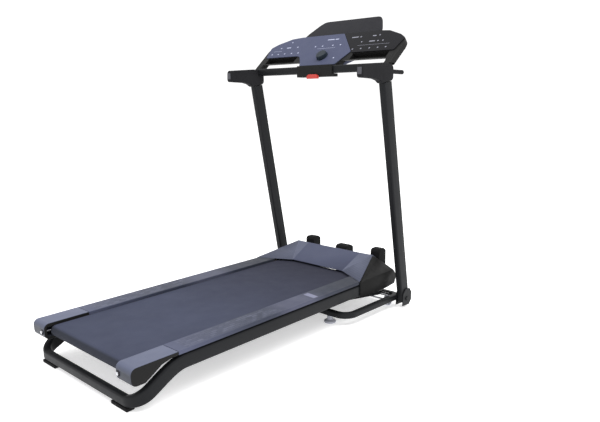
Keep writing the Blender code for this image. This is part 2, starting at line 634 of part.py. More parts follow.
def console():
    lip = [(0.100, -0.012), (0.112, 0.017), (0.136, 0.018), (0.350, 0.018), (0.352, -0.060),
           (0.383, -0.060), (0.386, 0.120), (0.378, 0.145), (0.350, 0.168), (0.278, 0.201),
           (0.222, 0.207)]
    back = prism("console_back", mirrored(lip), "Z", -0.0300, -0.0040, PLASTIC_BLACK, CONSOLE)
    for side, sign in sides():
        low, high = sorted((sign * 0.160, sign * 0.343))
        tray = [(1.1500, TRAY_FLOOR), (1.2174, TRAY_FLOOR), (1.2275, 1.0806), (1.2036, 1.1075),
                (1.1500, TRAY_FLOOR + 0.001)]
        cut(back, prism(f"tray_{side}", tray, "X", low, high, None, HANDLES))
        low, high = sorted((sign * 0.1125, sign * 0.3500))
        cut(back, box(f"slot_{side}", (low, 1.10, 0.90), (high, 1.30, TRAY_FLOOR - 0.004), None, HANDLES))
        low, high = sorted((sign * 0.330, sign * 0.420))
        cut(back, box(f"hub_room_{side}", (low, 1.05, 0.90), (high, 1.1884, 1.0475), None, HANDLES))
    cut(back, box("bar_room", (-0.353, 1.10, 0.90), (0.353, 1.1819, 1.0500), None, HANDLES))
    cut(back, box("peg_room", (-0.420, 1.16, 0.90), (0.420, 1.30, 1.0260), None, HANDLES))
    rear = [(0.070, 0.030), (0.150, 0.085), (0.150, 0.165), (0.110, 0.190)]
    prism("console_rear_cover", mirrored(rear), "Z", -0.0520, -0.0303, SLATE, CONSOLE, 0.008)
    face = [(-0.362, 0.068), (-0.378, 0.140), (-0.348, 0.166), (-0.276, 0.199), (-0.220, 0.205),
            (0.031, 0.205), (0.141, 0.077), (0.110, 0.017), (0.101, -0.003), (-0.101, -0.003),
            (-0.110, 0.017), (-0.141, 0.060), (-0.160, 0.068)]
    plate = prism("console_face", face, "Z", -0.0037, 0.0, SLATE, CONSOLE)
    shaft = rod("knob_hole", -0.010, 0.010, (0.0, 0.052, 0.0), 0.0050, "Z", None, CONSOLE, sides=12)
    cut(plate, shaft)
    window = [(0.0335, 0.205), (0.220, 0.205), (0.276, 0.199), (0.348, 0.166), (0.378, 0.140),
              (0.362, 0.068), (0.150, 0.068), (0.1425, 0.0785)]
    prism("display_window", window, "Z", -0.0037, -0.0002, GLOSS_BLACK, CONSOLE)
    knob = [(-0.0036, 0.0), (-0.0036, 0.0045), (0.0005, 0.0045), (0.0005, 0.0270), (0.0150, 0.0240),
            (0.0170, 0.0220), (0.0170, 0.0)]
    turned("speed_knob", knob, (0.0, 0.052, 0.0), "Z", KNOB_NAVY, CONSOLE, sides=16)
    tablet = [(0.217, 0.2105), (0.213, 0.235), (0.175, 0.305), (0.155, 0.324)]
    prism("tablet_holder", mirrored(tablet), "Z", -0.0180, -0.0100, GLOSS_BLACK, CONSOLE, 0.002)


deck_frame_pieces()
belt_and_rollers()
drive()
deck_covers()
mains()
floor_frame()
lock_plunger()
lift_arm()
mast()
console()
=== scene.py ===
"""The treadmill's looks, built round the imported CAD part: a folding home treadmill on a studio floor."""

import json
from math import atan, cos, pi, radians, sin, sqrt

import bmesh
import bpy
from mathutils import Matrix, Vector

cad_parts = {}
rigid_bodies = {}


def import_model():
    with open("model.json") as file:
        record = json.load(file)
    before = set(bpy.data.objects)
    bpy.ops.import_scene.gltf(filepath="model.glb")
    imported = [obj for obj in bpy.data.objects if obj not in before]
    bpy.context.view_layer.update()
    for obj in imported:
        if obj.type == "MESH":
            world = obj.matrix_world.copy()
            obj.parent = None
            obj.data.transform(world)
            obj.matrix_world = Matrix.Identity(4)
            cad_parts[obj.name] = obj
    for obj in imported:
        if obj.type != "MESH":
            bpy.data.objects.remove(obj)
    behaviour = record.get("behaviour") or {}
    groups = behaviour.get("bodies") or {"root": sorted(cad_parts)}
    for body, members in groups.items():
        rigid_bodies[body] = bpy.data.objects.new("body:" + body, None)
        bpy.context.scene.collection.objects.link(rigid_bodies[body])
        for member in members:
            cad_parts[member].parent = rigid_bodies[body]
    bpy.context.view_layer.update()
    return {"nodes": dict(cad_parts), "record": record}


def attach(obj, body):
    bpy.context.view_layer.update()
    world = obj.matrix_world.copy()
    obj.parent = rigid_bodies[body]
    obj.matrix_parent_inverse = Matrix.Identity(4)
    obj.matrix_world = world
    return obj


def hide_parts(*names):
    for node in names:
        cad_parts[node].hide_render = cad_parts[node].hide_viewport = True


for leftover in list(bpy.data.objects):
    bpy.data.objects.remove(leftover)
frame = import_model()

# ---- sizes, in metres, measured from the deck's rear end -----------------
CENTRE_Y = 0.7036
GAP = 0.0003
BELT_HALF, BELT_THICK, BELT_TOP = 0.225, 0.0018, 0.141
ROLLER_R = 0.0185
ROLLER_Z = BELT_TOP - BELT_THICK - GAP - ROLLER_R
REAR_ROLLER_Y, FRONT_ROLLER_Y = 0.0395, 1.175
DECK_HALF, RAIL_TOP, RAIL_UNDER, RAIL_INNER = 0.314, 0.151, 0.1392, 0.231
RAIL_REAR_Y = 0.1655
RAIL_SLOPE = 0.0112
BOLT_X, BOLT_Z = 0.246, 0.1204
TUBE_X, TUBE_W, TUBE_H, TUBE_Z, TUBE_FRONT_Y = 0.300, 0.026, 0.048, 0.109, 1.300
BAR_H, BAR_Y, BAR_Z = 0.033, 0.012, 0.0287
SWOOP_START_Y, CORNER_R = 0.195, 0.050
HOOD_TIP_Y, HOOD_EDGE_Y, HOOD_EDGE_X = 1.078, 1.160, 0.152
RIDGE_Y, RIDGE_Z, RIDGE_X, FACET_X, HOOD_FRONT_Y = 1.282, 0.212, 0.225, 0.159, 1.334
SKIN = 0.0025
PIN_HOLE_R, LOCK_HOLE_R, LOCK_Z = 0.0053, 0.0048, 0.058
BASE_X, BASE_W, BASE_H, BASE_Z = 0.335, 0.026, 0.025, 0.0425
BASE_REAR_Y, BASE_FRONT_Y, FRONT_CORNER_R = 0.965, 1.336, 0.030
WHEEL_R, WHEEL_Y, WHEEL_X = 0.0235, 1.300, 0.305
MAST_Y, MAST_Z, MAST_LEAN = 1.330, 0.042, radians(10.83)
UPRIGHT_X, UPRIGHT_W, UPRIGHT_D, UPRIGHT_TOP, FOOT_REACH = 0.368, 0.029, 0.054, 0.949, 0.0275
HANDLE_W = 0.030
CROSSBAR_Y, CROSSBAR_Z, CROSSBAR_W, CROSSBAR_H = 1.165, 1.0335, 0.028, 0.032
PEG_Z = 1.0160
CONSOLE_Y, CONSOLE_Z, CONSOLE_RISE = 1.161, 1.056, radians(41.76)
TRAY_FLOOR = 1.0715
KNOB_V = 0.052
PLATE_UNDER, WINDOW_FACE = -0.0037, -0.0002
MARK_THICK = 0.0003

FLOOR = Matrix.Translation((0.0, -CENTRE_Y, 0.0))
DECK = FLOOR @ Matrix.Rotation(atan(RAIL_SLOPE), 4, "X")
MAST = (Matrix.Translation((0.0, MAST_Y - CENTRE_Y, MAST_Z))
        @ Matrix.Rotation(MAST_LEAN, 4, "X"))
PANEL = (Matrix.Translation((0.0, CONSOLE_Y - CENTRE_Y, CONSOLE_Z))
         @ Matrix.Rotation(CONSOLE_RISE, 4, "X"))


# ---- looks ---------------------------------------------------------------
COLOUR_A, COLOUR_B, COLOUR_OUT = 6, 7, 2  # the mix node's sockets when it mixes colours
CLOUD_SIZE, SHEEN_SIZE = 7.0, 23.0
GRAIN_SHARE = 0.3  # how much of the fine grain stays under a pattern
BUMP_DEPTH = 0.0006


def tone(red, green, blue):
    """A colour given as it looks on screen, from 0 to 255, turned into the shader's own scale."""
    return tuple(((c / 255 + 0.055) / 1.055) ** 2.4 if c > 10 else c / 255 / 12.92
                 for c in (red, green, blue))


def node(tree, kind, **sockets):
    """A shader node with its sockets set by name."""
    made = tree.nodes.new(kind)
    for name, value in sockets.items():
        made.inputs[name.replace("_", " ")].default_value = value
    return made


def maths(tree, operation, first, second):
    """A maths node. Each of the two is a socket or a number."""
    made = tree.nodes.new("ShaderNodeMath")
    made.operation = operation
    for index, value in enumerate((first, second)):
        if isinstance(value, bpy.types.NodeSocket):
            tree.links.new(value, made.inputs[index])
        else:
            made.inputs[index].default_value = value
    return made.outputs[0]


def ranged(tree, value, low, high, to_low, to_high):
    """Carries a value from one range to another, clamped at both ends."""
    made = node(tree, "ShaderNodeMapRange", From_Min=low, From_Max=high,
                To_Min=to_low, To_Max=to_high)
    tree.links.new(value, made.inputs["Value"])
    return made.outputs["Result"]


def mixed(tree, share, first, second):
    """Two colours mixed. Each is a socket or a plain colour."""
    made = tree.nodes.new("ShaderNodeMix")
    made.data_type = "RGBA"
    tree.links.new(share, made.inputs["Factor"])
    for socket, value in ((made.inputs[COLOUR_A], first), (made.inputs[COLOUR_B], second)):
        if isinstance(value, bpy.types.NodeSocket):
            tree.links.new(value, socket)
        else:
            socket.default_value = (*value, 1.0)
    return made.outputs[COLOUR_OUT]


def split(tree, place):
    """The place's own X, Y and Z, by name."""
    parts = tree.nodes.new("ShaderNodeSeparateXYZ")
    tree.links.new(place, parts.inputs[0])
    return parts.outputs


def scaled(colour, by):
    return tuple(min(1.0, c * by) for c in colour)


def look(name, colour, roughness, specular, mottle=0.05, grain=0.10, grain_size=1100.0, metal=0.0,
         spread=0.06, pattern=None):
    """A finish: slight clouds of colour, an uneven sheen and a fine grain, with an optional pattern."""
    made = bpy.data.materials.new(name)
    made.use_nodes = True
    tree = made.node_tree
    shader = tree.nodes["Principled BSDF"]
    place = tree.nodes.new("ShaderNodeTexCoord").outputs["Object"]
    cloud = node(tree, "ShaderNodeTexNoise", Scale=CLOUD_SIZE, Detail=3.0)
    sheen = node(tree, "ShaderNodeTexNoise", Scale=SHEEN_SIZE, Detail=4.0)
    fine = node(tree, "ShaderNodeTexNoise", Scale=grain_size, Detail=2.0)
    for texture in (cloud, sheen, fine):
        tree.links.new(place, texture.inputs["Vector"])
    colours = mixed(tree, ranged(tree, cloud.outputs["Fac"], 0.3, 0.7, 0.0, 1.0),
                    scaled(colour, 1 - mottle), scaled(colour, 1 + mottle))
    rough = ranged(tree, sheen.outputs["Fac"], 0.3, 0.7, roughness - spread, roughness + spread)
    height = fine.outputs["Fac"]
    if pattern:
        colours, height = pattern(tree, place, colours, height)
    bump = node(tree, "ShaderNodeBump", Strength=grain, Distance=BUMP_DEPTH)
    tree.links.new(height, bump.inputs["Height"])
    tree.links.new(bump.outputs["Normal"], shader.inputs["Normal"])
    tree.links.new(colours, shader.inputs["Base Color"])
    tree.links.new(rough, shader.inputs["Roughness"])
    shader.inputs["Metallic"].default_value = metal
    shader.inputs["Specular IOR Level"].default_value = specular
    return made


def woven(tree, place, colours, height):
    """The belt's diamond weave, darker towards the hood, with painted shade where it wraps the rollers."""
    waves = []
    for turn in (45, -45):
        spun = node(tree, "ShaderNodeMapping", Rotation=(0.0, 0.0, radians(turn)))
        tree.links.new(place, spun.inputs["Vector"])
        wave = node(tree, "ShaderNodeTexWave", Scale=72.0)
        tree.links.new(spun.outputs["Vector"], wave.inputs["Vector"])
        waves.append(wave.outputs["Fac"])
    weave = maths(tree, "MULTIPLY", waves[0], waves[1])
    tall = maths(tree, "ADD", maths(tree, "MULTIPLY", weave, 0.8),
                 maths(tree, "MULTIPLY", height, GRAIN_SHARE))
    parts = split(tree, place)
    # the belt is darkened towards the hood
    towards_hood = ranged(tree, parts["Y"], -0.30, 0.45, 0.0, 0.9)
    darker_forward = mixed(tree, towards_hood, colours, tone(44, 44, 54))
    dark = mixed(tree, ranged(tree, weave, 0.0, 0.6, 0.0, 0.22), darker_forward, tone(48, 51, 62))
    # painted shade: the belt's curve round the rollers faces away from the light, so it is darkened
    wrap_shade = ranged(tree, parts["Z"], 0.1345, 0.1400, 0.85, 0.0)
    return mixed(tree, wrap_shade, dark, tone(44, 46, 52)), tall


def gripped(tree, place, colours, height):
    """The foot rail: raised anti-slip bricks at the rear, a lighter band, then a darker front."""
    parts = split(tree, place)
    across = maths(tree, "ABSOLUTE", parts["X"], 0.0)
    along = maths(tree, "ADD", parts["Y"], CENTRE_Y)
    slanted = maths(tree, "SUBTRACT", along, maths(tree, "MULTIPLY", across, 0.75))
    rear = maths(tree, "MULTIPLY", ranged(tree, along, 0.196, 0.202, 0.0, 1.0),
                  ranged(tree, slanted, 0.401, 0.404, 1.0, 0.0))
    edge = maths(tree, "MULTIPLY", ranged(tree, across, 0.2395, 0.2405, 0.0, 1.0),
                  ranged(tree, across, 0.3035, 0.3045, 1.0, 0.0))
    zone = maths(tree, "MULTIPLY", rear, edge)
    rear_tint = ranged(tree, along, 0.17, 0.46, 0.75, 0.0)
    colours = mixed(tree, rear_tint, colours, tone(84, 88, 110))
    spun = node(tree, "ShaderNodeMapping", Rotation=(0.0, 0.0, radians(90)))
    tree.links.new(place, spun.inputs["Vector"])
    bricks = node(tree, "ShaderNodeTexBrick", Scale=1.0, Mortar_Size=0.0014, Mortar_Smooth=0.4,
                  Brick_Width=0.0260, Row_Height=0.0130, Color1=(1.0, 1.0, 1.0, 1.0),
                  Color2=(0.25, 0.25, 0.25, 1.0), Mortar=(0.0, 0.0, 0.0, 1.0))
    tree.links.new(spun.outputs["Vector"], bricks.inputs["Vector"])
    brick = maths(tree, "MULTIPLY", ranged(tree, bricks.outputs["Color"], 0.0, 1.0, 0.0, 1.0), zone)
    tall = maths(tree, "ADD", maths(tree, "MULTIPLY", brick, 1.2),
                 maths(tree, "MULTIPLY", height, GRAIN_SHARE))
    band = maths(tree, "MULTIPLY", ranged(tree, along, 0.58, 0.66, 0.0, 0.32),
                 ranged(tree, along, 0.78, 0.86, 1.0, 0.0))
    front_tint = ranged(tree, along, 0.80, 1.02, 0.0, 0.9)
    colours = mixed(tree, front_tint, colours, tone(46, 49, 58))
    lighter = mixed(tree, band, colours, tone(104, 105, 126))
    raised = mixed(tree, maths(tree, "MULTIPLY", brick, 0.55), lighter, tone(98, 102, 120))
    gaps = maths(tree, "MULTIPLY", maths(tree, "SUBTRACT", zone, brick), 0.35)
    return mixed(tree, gaps, raised, tone(46, 48, 60)), tall


def painted_rear_shade(tree, place, colours, height):
    """Painted shade: the cap's rounded rear end is painted a darker slate than its top, for the shade that
    falls on it.
    """
    # painted shade, darker towards the bottom of the rear end
    low = ranged(tree, split(tree, place)["Z"], 0.128, 0.148, 1.0, 0.0)
    return mixed(tree, low, colours, tone(54, 57, 66)), height


def dotted(tree, place, colours, height):
    """Fine moulded dots on the hood's flanks."""
    cells = node(tree, "ShaderNodeTexVoronoi", Scale=230.0, Randomness=0.25)
    tree.links.new(place, cells.inputs["Vector"])
    dots = ranged(tree, cells.outputs["Distance"], 0.25, 0.42, 1.0, 0.0)
    tall = maths(tree, "ADD", dots, maths(tree, "MULTIPLY", height, GRAIN_SHARE))
    tips = maths(tree, "MULTIPLY", dots, 0.22)
    return mixed(tree, tips, colours, tone(128, 132, 156)), tall


PAINT = {}


def finish(slot, *values, **named):
    PAINT[slot] = look(slot, *values, **named)


# colour, roughness, specular level, then how mottled, how grainy and how fine the grain is
finish("frame_black", tone(27, 28, 30), 0.38, 0.10, grain=0.06, grain_size=1500.0)
finish("black_plastic", tone(28, 28, 28), 0.52, 0.09, mottle=0.06, grain=0.16)
finish("slate_plastic", tone(74, 78, 98), 0.46, 0.14, grain=0.14)
# the belt's finish carries painted shade where it wraps the rollers
finish("belt_black", tone(64, 68, 85), 0.80, 0.08, 0.06, 0.35, 700.0, pattern=woven)
finish("bright_steel", tone(190, 191, 195), 0.28, 0.5, grain=0.04, grain_size=900.0, metal=1.0)
finish("aluminium", tone(176, 178, 182), 0.36, 0.5, grain=0.06, grain_size=900.0, metal=1.0)
finish("wheel_grey", tone(170, 172, 182), 0.50, 0.35, grain=0.12)
finish("rubber", tone(27, 27, 28), 0.82, 0.08, 0.10, 0.30, 800.0)
finish("deck_board", tone(92, 80, 66), 0.60, 0.30, 0.15, 0.30, 400.0)
finish("circuit_green", tone(40, 92, 62), 0.50, 0.40, 0.12, 0.20, 500.0)
finish("gloss_black", tone(24, 24, 27), 0.24, 0.045, 0.04, 0.02, 900.0, spread=0.03)
finish("moulded_grip", tone(28, 28, 30), 0.66, 0.09, 0.07, 0.30, 900.0)
finish("key_red", tone(176, 52, 44), 0.40, 0.40, mottle=0.06)
finish("knob_navy", tone(26, 35, 44), 0.32, 0.15, grain=0.05)
RAIL_PAINT = look("rail_grip", tone(53, 57, 71), 0.50, 0.12, grain=0.45, pattern=gripped)
# the cap's finish carries painted shade on its rear end
CAP_PAINT = look("cap_slate", tone(90, 95, 115), 0.42, 0.14, pattern=painted_rear_shade)
FLANK_PAINT = look("flank_slate", tone(90, 94, 111), 0.50, 0.14, grain=0.35, pattern=dotted)
CONSOLE_BLUE = look("console_blue", tone(70, 74, 95), 0.44, 0.05, mottle=0.04)
MARK_PALE = look("mark_pale", tone(160, 164, 186), 0.55, 0.30, grain=0.05)
MARK_DIM = look("mark_dim", tone(128, 129, 140), 0.55, 0.30, grain=0.05)
# painted shadow, used for the dark ring round the tension bolts
SHADOW_RING_PAINT = look("shadow_ring", tone(22, 22, 25), 0.75, 0.15, mottle=0.10, grain=0.20)
CHEVRON = look("chevron", tone(112, 114, 136), 0.50, 0.30)
TABLET = look("tablet_black", tone(34, 34, 38), 0.36, 0.04, grain=0.05)
END_GREY = look("end_grey", tone(70, 70, 76), 0.55, 0.30, grain=0.20)


# ---- shapes --------------------------------------------------------------
AXES = {"X": (1, 2, 0), "Y": (0, 2, 1), "Z": (0, 1, 2)}  # the two across, then the one along
SIDES = (("left", -1.0), ("right", 1.0))
MOST_OF_SIDE = 0.45  # a rounded corner takes no more of a side than this


def at(axis, first, second, along):
    """A point given by its two places across an axis and its place along it."""
    point = [0.0, 0.0, 0.0]
    for index, value in zip(AXES[axis], (first, second, along)):
        point[index] = value
    return point


def arc(centre_a, centre_b, radius, start, end, steps):
    """Points on an arc from one angle to another, in degrees."""
    angles = [radians(start + (end - start) * k / steps) for k in range(steps + 1)]
    return [(centre_a + radius * cos(t), centre_b + radius * sin(t)) for t in angles]


def rounded(outline, radius, steps=5):
    """An outline with its corners rounded."""
    made = []
    count = len(outline)
    for i in range(count):
        here = Vector(outline[i])
        back, ahead = Vector(outline[i - 1]) - here, Vector(outline[(i + 1) % count]) - here
        start = here + back.normalized() * min(radius, back.length * MOST_OF_SIDE)
        end = here + ahead.normalized() * min(radius, ahead.length * MOST_OF_SIDE)
        for k in range(steps + 1):
            t = k / steps
            made.append(tuple(start * (1 - t) ** 2 + here * 2 * t * (1 - t) + end * t ** 2))
    return made


def prism(outline, axis, low, high, painted_ends=False):
    """An outline carried straight along an axis. Its ends can take the second finish."""
    made = bmesh.new()
    ends = [[made.verts.new(at(axis, a, b, along)) for a, b in outline] for along in (low, high)]
    for end in ends:
        made.faces.new(end).material_index = int(painted_ends)
    for i in range(len(outline)):
        j = (i + 1) % len(outline)
        made.faces.new((ends[0][i], ends[0][j], ends[1][j], ends[1][i]))
    return made


def block(low, high):
    outline = [(low[0], low[1]), (high[0], low[1]), (high[0], high[1]), (low[0], high[1])]
    return prism(outline, "Z", low[2], high[2])


def rings_joined(rings, closed=False, capped=True):
    """Skins a row of rings that have the same number of points."""
    made = bmesh.new()
    loops = [[made.verts.new(spot) for spot in ring] for ring in rings]
    pairs = list(zip(loops, loops[1:])) + ([(loops[-1], loops[0])] if closed else [])
    for near, far in pairs:
        for i in range(len(near)):
            j = (i + 1) % len(near)
            made.faces.new((near[i], near[j], far[j], far[i]))
    if capped and not closed:
        made.faces.new(loops[0])
        made.faces.new(loops[-1])
    return made


def turned(profile, centre, axis, sides=48, ring=False):
    """A profile of (along, radius) points spun about an axis through a centre."""
    made = bmesh.new()
    first, second, third = AXES[axis]
    loops = []
    for along, radius in profile:
        loop = []
        for k in range(sides if radius else 1):
            point = list(centre)
            turn = 2 * pi * k / sides - pi / 2
            point[first] += radius * cos(turn)
            point[second] += radius * sin(turn)
            point[third] += along
            loop.append(made.verts.new(point))
        loops.append(loop if radius else loop * sides)
    pairs = list(zip(loops, loops[1:])) + ([(loops[-1], loops[0])] if ring else [])
    for near, far in pairs:
        for i in range(sides):
            j = (i + 1) % sides
            corners = [near[i], near[j], far[j], far[i]]
            unique = [v for n, v in enumerate(corners) if v not in corners[:n]]
            if len(unique) > 2:
                made.faces.new(unique)
    return made


def rod(low, high, radius, centre, axis):
    """A plain round bar, used as a cutter for holes."""
    return turned([(low, 0.0), (low, radius), (high, radius), (high, 0.0)], centre, axis, 24)


def section(width, height, corner, steps=5):
    """A tube's rounded section."""
    w, h = width / 2 - corner, height / 2 - corner
    spots = []
    for a, b, start in ((w, h, 0), (-w, h, 90), (-w, -h, 180), (w, -h, 270)):
        spots += arc(a, b, corner, start, start + 90, steps)
    return spots


def swept(path, corner=0.006, closed=False):
    """A tube of rounded section along a path of (point, width, height)."""
    points = [Vector(entry[0]) for entry in path]
    count = len(points)
    rings = []
    for i, (point, width, height) in enumerate(path):
        before = points[(i - 1) % count] if closed else points[max(i - 1, 0)]
        after = points[(i + 1) % count] if closed else points[min(i + 1, count - 1)]
        ahead = (after - before).normalized()
        across = ahead.cross(Vector((0.0, 0.0, 1.0))).normalized()
        up = across.cross(ahead)
        rings.append([Vector(point) + across * a + up * b for a, b in section(width, height, corner)])
    return rings_joined(rings, closed)


def belt_loop(rear_y, front_y, z, radius, steps):
    """The side view of a level belt round two rollers of one radius."""
    return (arc(rear_y, z, radius, 90, 270, steps)
            + arc(front_y, z, radius, -90, 90, steps))


def skin(corners, faces, painted=()):
    """An outer skin. The faces named in painted take the second finish."""
    made = bmesh.new()
    spots = [made.verts.new(corner) for corner in corners]
    for index, face in enumerate(faces):
        surface = made.faces.new([spots[i] for i in face])
        surface.material_index = 1 if index in painted else 0
    return made


def bare(name, shape, place):
    """An object at the origin whose shape is already in place in the shared frame."""
    bmesh.ops.recalc_face_normals(shape, faces=shape.faces)
    shape.transform(place)
    mesh = bpy.data.meshes.new(name)
    shape.to_mesh(mesh)
    shape.free()
    made = bpy.data.objects.new(name, mesh)
    bpy.context.scene.collection.objects.link(made)
    return made


def softened(made, width, segments, limit):
    """Bevels the edges sharper than the limit, in degrees."""
    edge = made.modifiers.new("edges", "BEVEL")
    edge.width = width
    edge.segments = segments
    edge.limit_method = "ANGLE"
    edge.angle_limit = radians(limit)
    edge.harden_normals = True


def add(name, shape, place, slot, body, nodes=(), bevel=0.0, segments=3, limit=28.0, thick=0.0,
        cuts=(), paint=None, second=None):
    """A finished piece riding on a body in place of CAD nodes: bevelled, thickened and cut as asked.

    Its finish is its slot's own, unless another paint is named.
    """
    made = bare(name, shape, place)
    made.data.shade_smooth()
    if bevel:
        softened(made, bevel, segments, limit)
    else:
        made.data.set_sharp_from_angle(angle=radians(40))
    if thick:
        wall = made.modifiers.new("wall", "SOLIDIFY")
        wall.thickness = thick
        wall.offset = -1.0
    for number, (cutter, where) in enumerate(cuts):
        tool = bare(f"{name}_cut_{number}", cutter, where)
        tool.hide_render = True
        tool.hide_viewport = True
        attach(tool, body)
        change = made.modifiers.new(f"cut_{number}", "BOOLEAN")
        change.operation = "DIFFERENCE"
        change.object = tool
    made.data.materials.append(paint or PAINT[slot])
    if second:
        made.data.materials.append(second)
    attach(made, body)
    if nodes:
        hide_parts(*nodes)
    return made


def span(sign, low, high):
    """A width range on one side, lowest first."""
    return sorted((sign * low, sign * high))


# ---- deck ----------------------------------------------------------------
SWOOP_STEPS, BEND_STEPS = 24, 14
FLATTEN_FROM = 0.45  # the share of the swoop after which the tube flattens into the floor bar


def side_tube_path():
    """From the hood back along one side, down the swoop, along the floor bar and up the other."""
    straight = SWOOP_START_Y - (BAR_Y + CORNER_R)
    run = straight + CORNER_R * pi / 2
    plan = [(TUBE_X, TUBE_FRONT_Y, 0.0), (TUBE_X, 0.62, 0.0), (TUBE_X, SWOOP_START_Y, 0.0)]
    for k in range(1, SWOOP_STEPS + 1):
        gone = straight * k / SWOOP_STEPS
        plan.append((TUBE_X, SWOOP_START_Y - gone, gone / run))
    for k in range(1, BEND_STEPS + 1):
        turn = pi / 2 * k / BEND_STEPS
        plan.append((TUBE_X - CORNER_R * (1 - cos(turn)), BAR_Y + CORNER_R * (1 - sin(turn)),
                     (straight + CORNER_R * turn) / run))
    half = []
    for x, y, fall in plan:
        eased = fall ** 2 * (3 - 2 * fall)
        flat = max(0.0, (fall - FLATTEN_FROM) / (1 - FLATTEN_FROM)) ** 2
        half.append(((x, y, TUBE_Z + (BAR_Z - TUBE_Z) * eased), TUBE_W,
                     TUBE_H + (BAR_H - TUBE_H) * flat))
    return half + [((-x, y, z), w, h) for (x, y, z), w, h in reversed(half)]


def deck():
    add("frame_tube", swept(side_tube_path(), 0.007), DECK, "frame_black", "deck", ["main_frame"])
    inner_r = ROLLER_R + GAP
    outer, inner = [belt_loop(REAR_ROLLER_Y, FRONT_ROLLER_Y, ROLLER_Z, radius, 28)
                    for radius in (inner_r + BELT_THICK, inner_r)]
    rings = [[at("X", a, b, x) for a, b in outline]
             for outline, x in ((outer, -BELT_HALF), (outer, BELT_HALF),
                                (inner, BELT_HALF), (inner, -BELT_HALF))]
    add("belt", rings_joined(rings, closed=True), DECK, "belt_black", "deck", ["running_belt"])
    for side, sign in SIDES:
        end_cap(side, sign)
        bolt_shadow_ring(side, sign)
        foot_rail(side, sign)
        rear_foot(side, sign)


def end_cap(side, sign):
    """A rounded rear cap, slate with black flanks, and the belt's tension bolt in its pocket."""
    radius, centre_y = 0.020, 0.018
    outline = arc(centre_y, RAIL_TOP - radius, radius, 90, 180, 10)
    outline += arc(centre_y, 0.112, radius, 180, 270, 10)
    outline += [(0.045, 0.0920), (0.070, 0.1070), (0.105, 0.1290), (0.140, 0.1375),
                (0.165, 0.1385), (0.165, RAIL_TOP)]
    low, high = span(sign, RAIL_INNER, DECK_HALF - GAP)
    pocket_low, pocket_high = span(sign, 0.220, 0.280)
    pocket = block((pocket_low, 0.008, 0.1035), (pocket_high, 0.180, 0.1390))
    add(f"cap_{side}", prism(outline, "X", low, high, painted_ends=True), DECK, "slate_plastic",
        "deck", [f"end_cap_{side}"], 0.0028, 4, 40.0, cuts=[(pocket, DECK)], paint=CAP_PAINT,
        second=PAINT["black_plastic"])
    bolt = [(-0.0075, 0.0), (-0.0075, 0.0045), (-0.0068, 0.0060), (-0.0026, 0.0060),
            (-0.0026, 0.0030), (0.0330, 0.0030), (0.0330, 0.0)]
    add(f"bolt_{side}", turned(bolt, (sign * BOLT_X, 0.0, BOLT_Z), "Y", 24), DECK,
        "bright_steel", "deck", [f"tension_bolt_{side}"])


def bolt_shadow_ring(side, sign):
    """A dark ring round the tension bolt's head: painted shadow round the bolt."""
    # painted shadow: a dark disc behind the bolt head
    ring = [(-0.0028, 0.0), (-0.0028, 0.0095), (-0.0004, 0.0095), (-0.0004, 0.0)]
    add(f"bolt_seat_{side}", turned(ring, (sign * BOLT_X, 0.0, BOLT_Z), "Y", 32), DECK,
        "slate_plastic", "deck", paint=SHADOW_RING_PAINT)


def foot_rail(side, sign):
    """The strip to stand on, cut at the front along the hood's slanted edge."""
    lip_r, edge, hood_gap = 0.004, 0.001, 0.0035
    outline = [(RAIL_INNER, RAIL_UNDER), (RAIL_INNER, RAIL_TOP - edge),
               (RAIL_INNER + edge, RAIL_TOP)]
    outline += arc(DECK_HALF - lip_r, RAIL_TOP - lip_r, lip_r, 90, 0, 6)
    outline += [(DECK_HALF, RAIL_UNDER)]
    slope = (HOOD_TIP_Y - HOOD_EDGE_Y) / (DECK_HALF - HOOD_EDGE_X)
    rings = [[(sign * x, RAIL_REAR_Y, z) for x, z in outline],
             [(sign * x, HOOD_EDGE_Y + slope * (x - HOOD_EDGE_X) - hood_gap, z)
              for x, z in outline]]
    add(f"rail_{side}", rings_joined(rings), DECK, "slate_plastic", "deck",
        [f"foot_rail_{side}"], paint=RAIL_PAINT)
    if side == "right":
        corners = [(0.243, 0.805), (0.302, 0.800), (0.302, 0.826), (0.243, 0.832)]
        add("rail_mark", prism(corners, "Z", RAIL_TOP, RAIL_TOP + MARK_THICK), DECK,
            "slate_plastic", "deck", paint=CHEVRON)


def rear_foot(side, sign):
    """A plain rubber pad under the floor bar."""
    low, high = span(sign, 0.183, 0.272)
    pad = block((low, -0.0025, 0.0), (high, 0.0265, 0.0118))
    add(f"foot_clip_{side}", pad, FLOOR, "rubber", "deck", [f"rear_foot_{side}"], 0.003, 3)


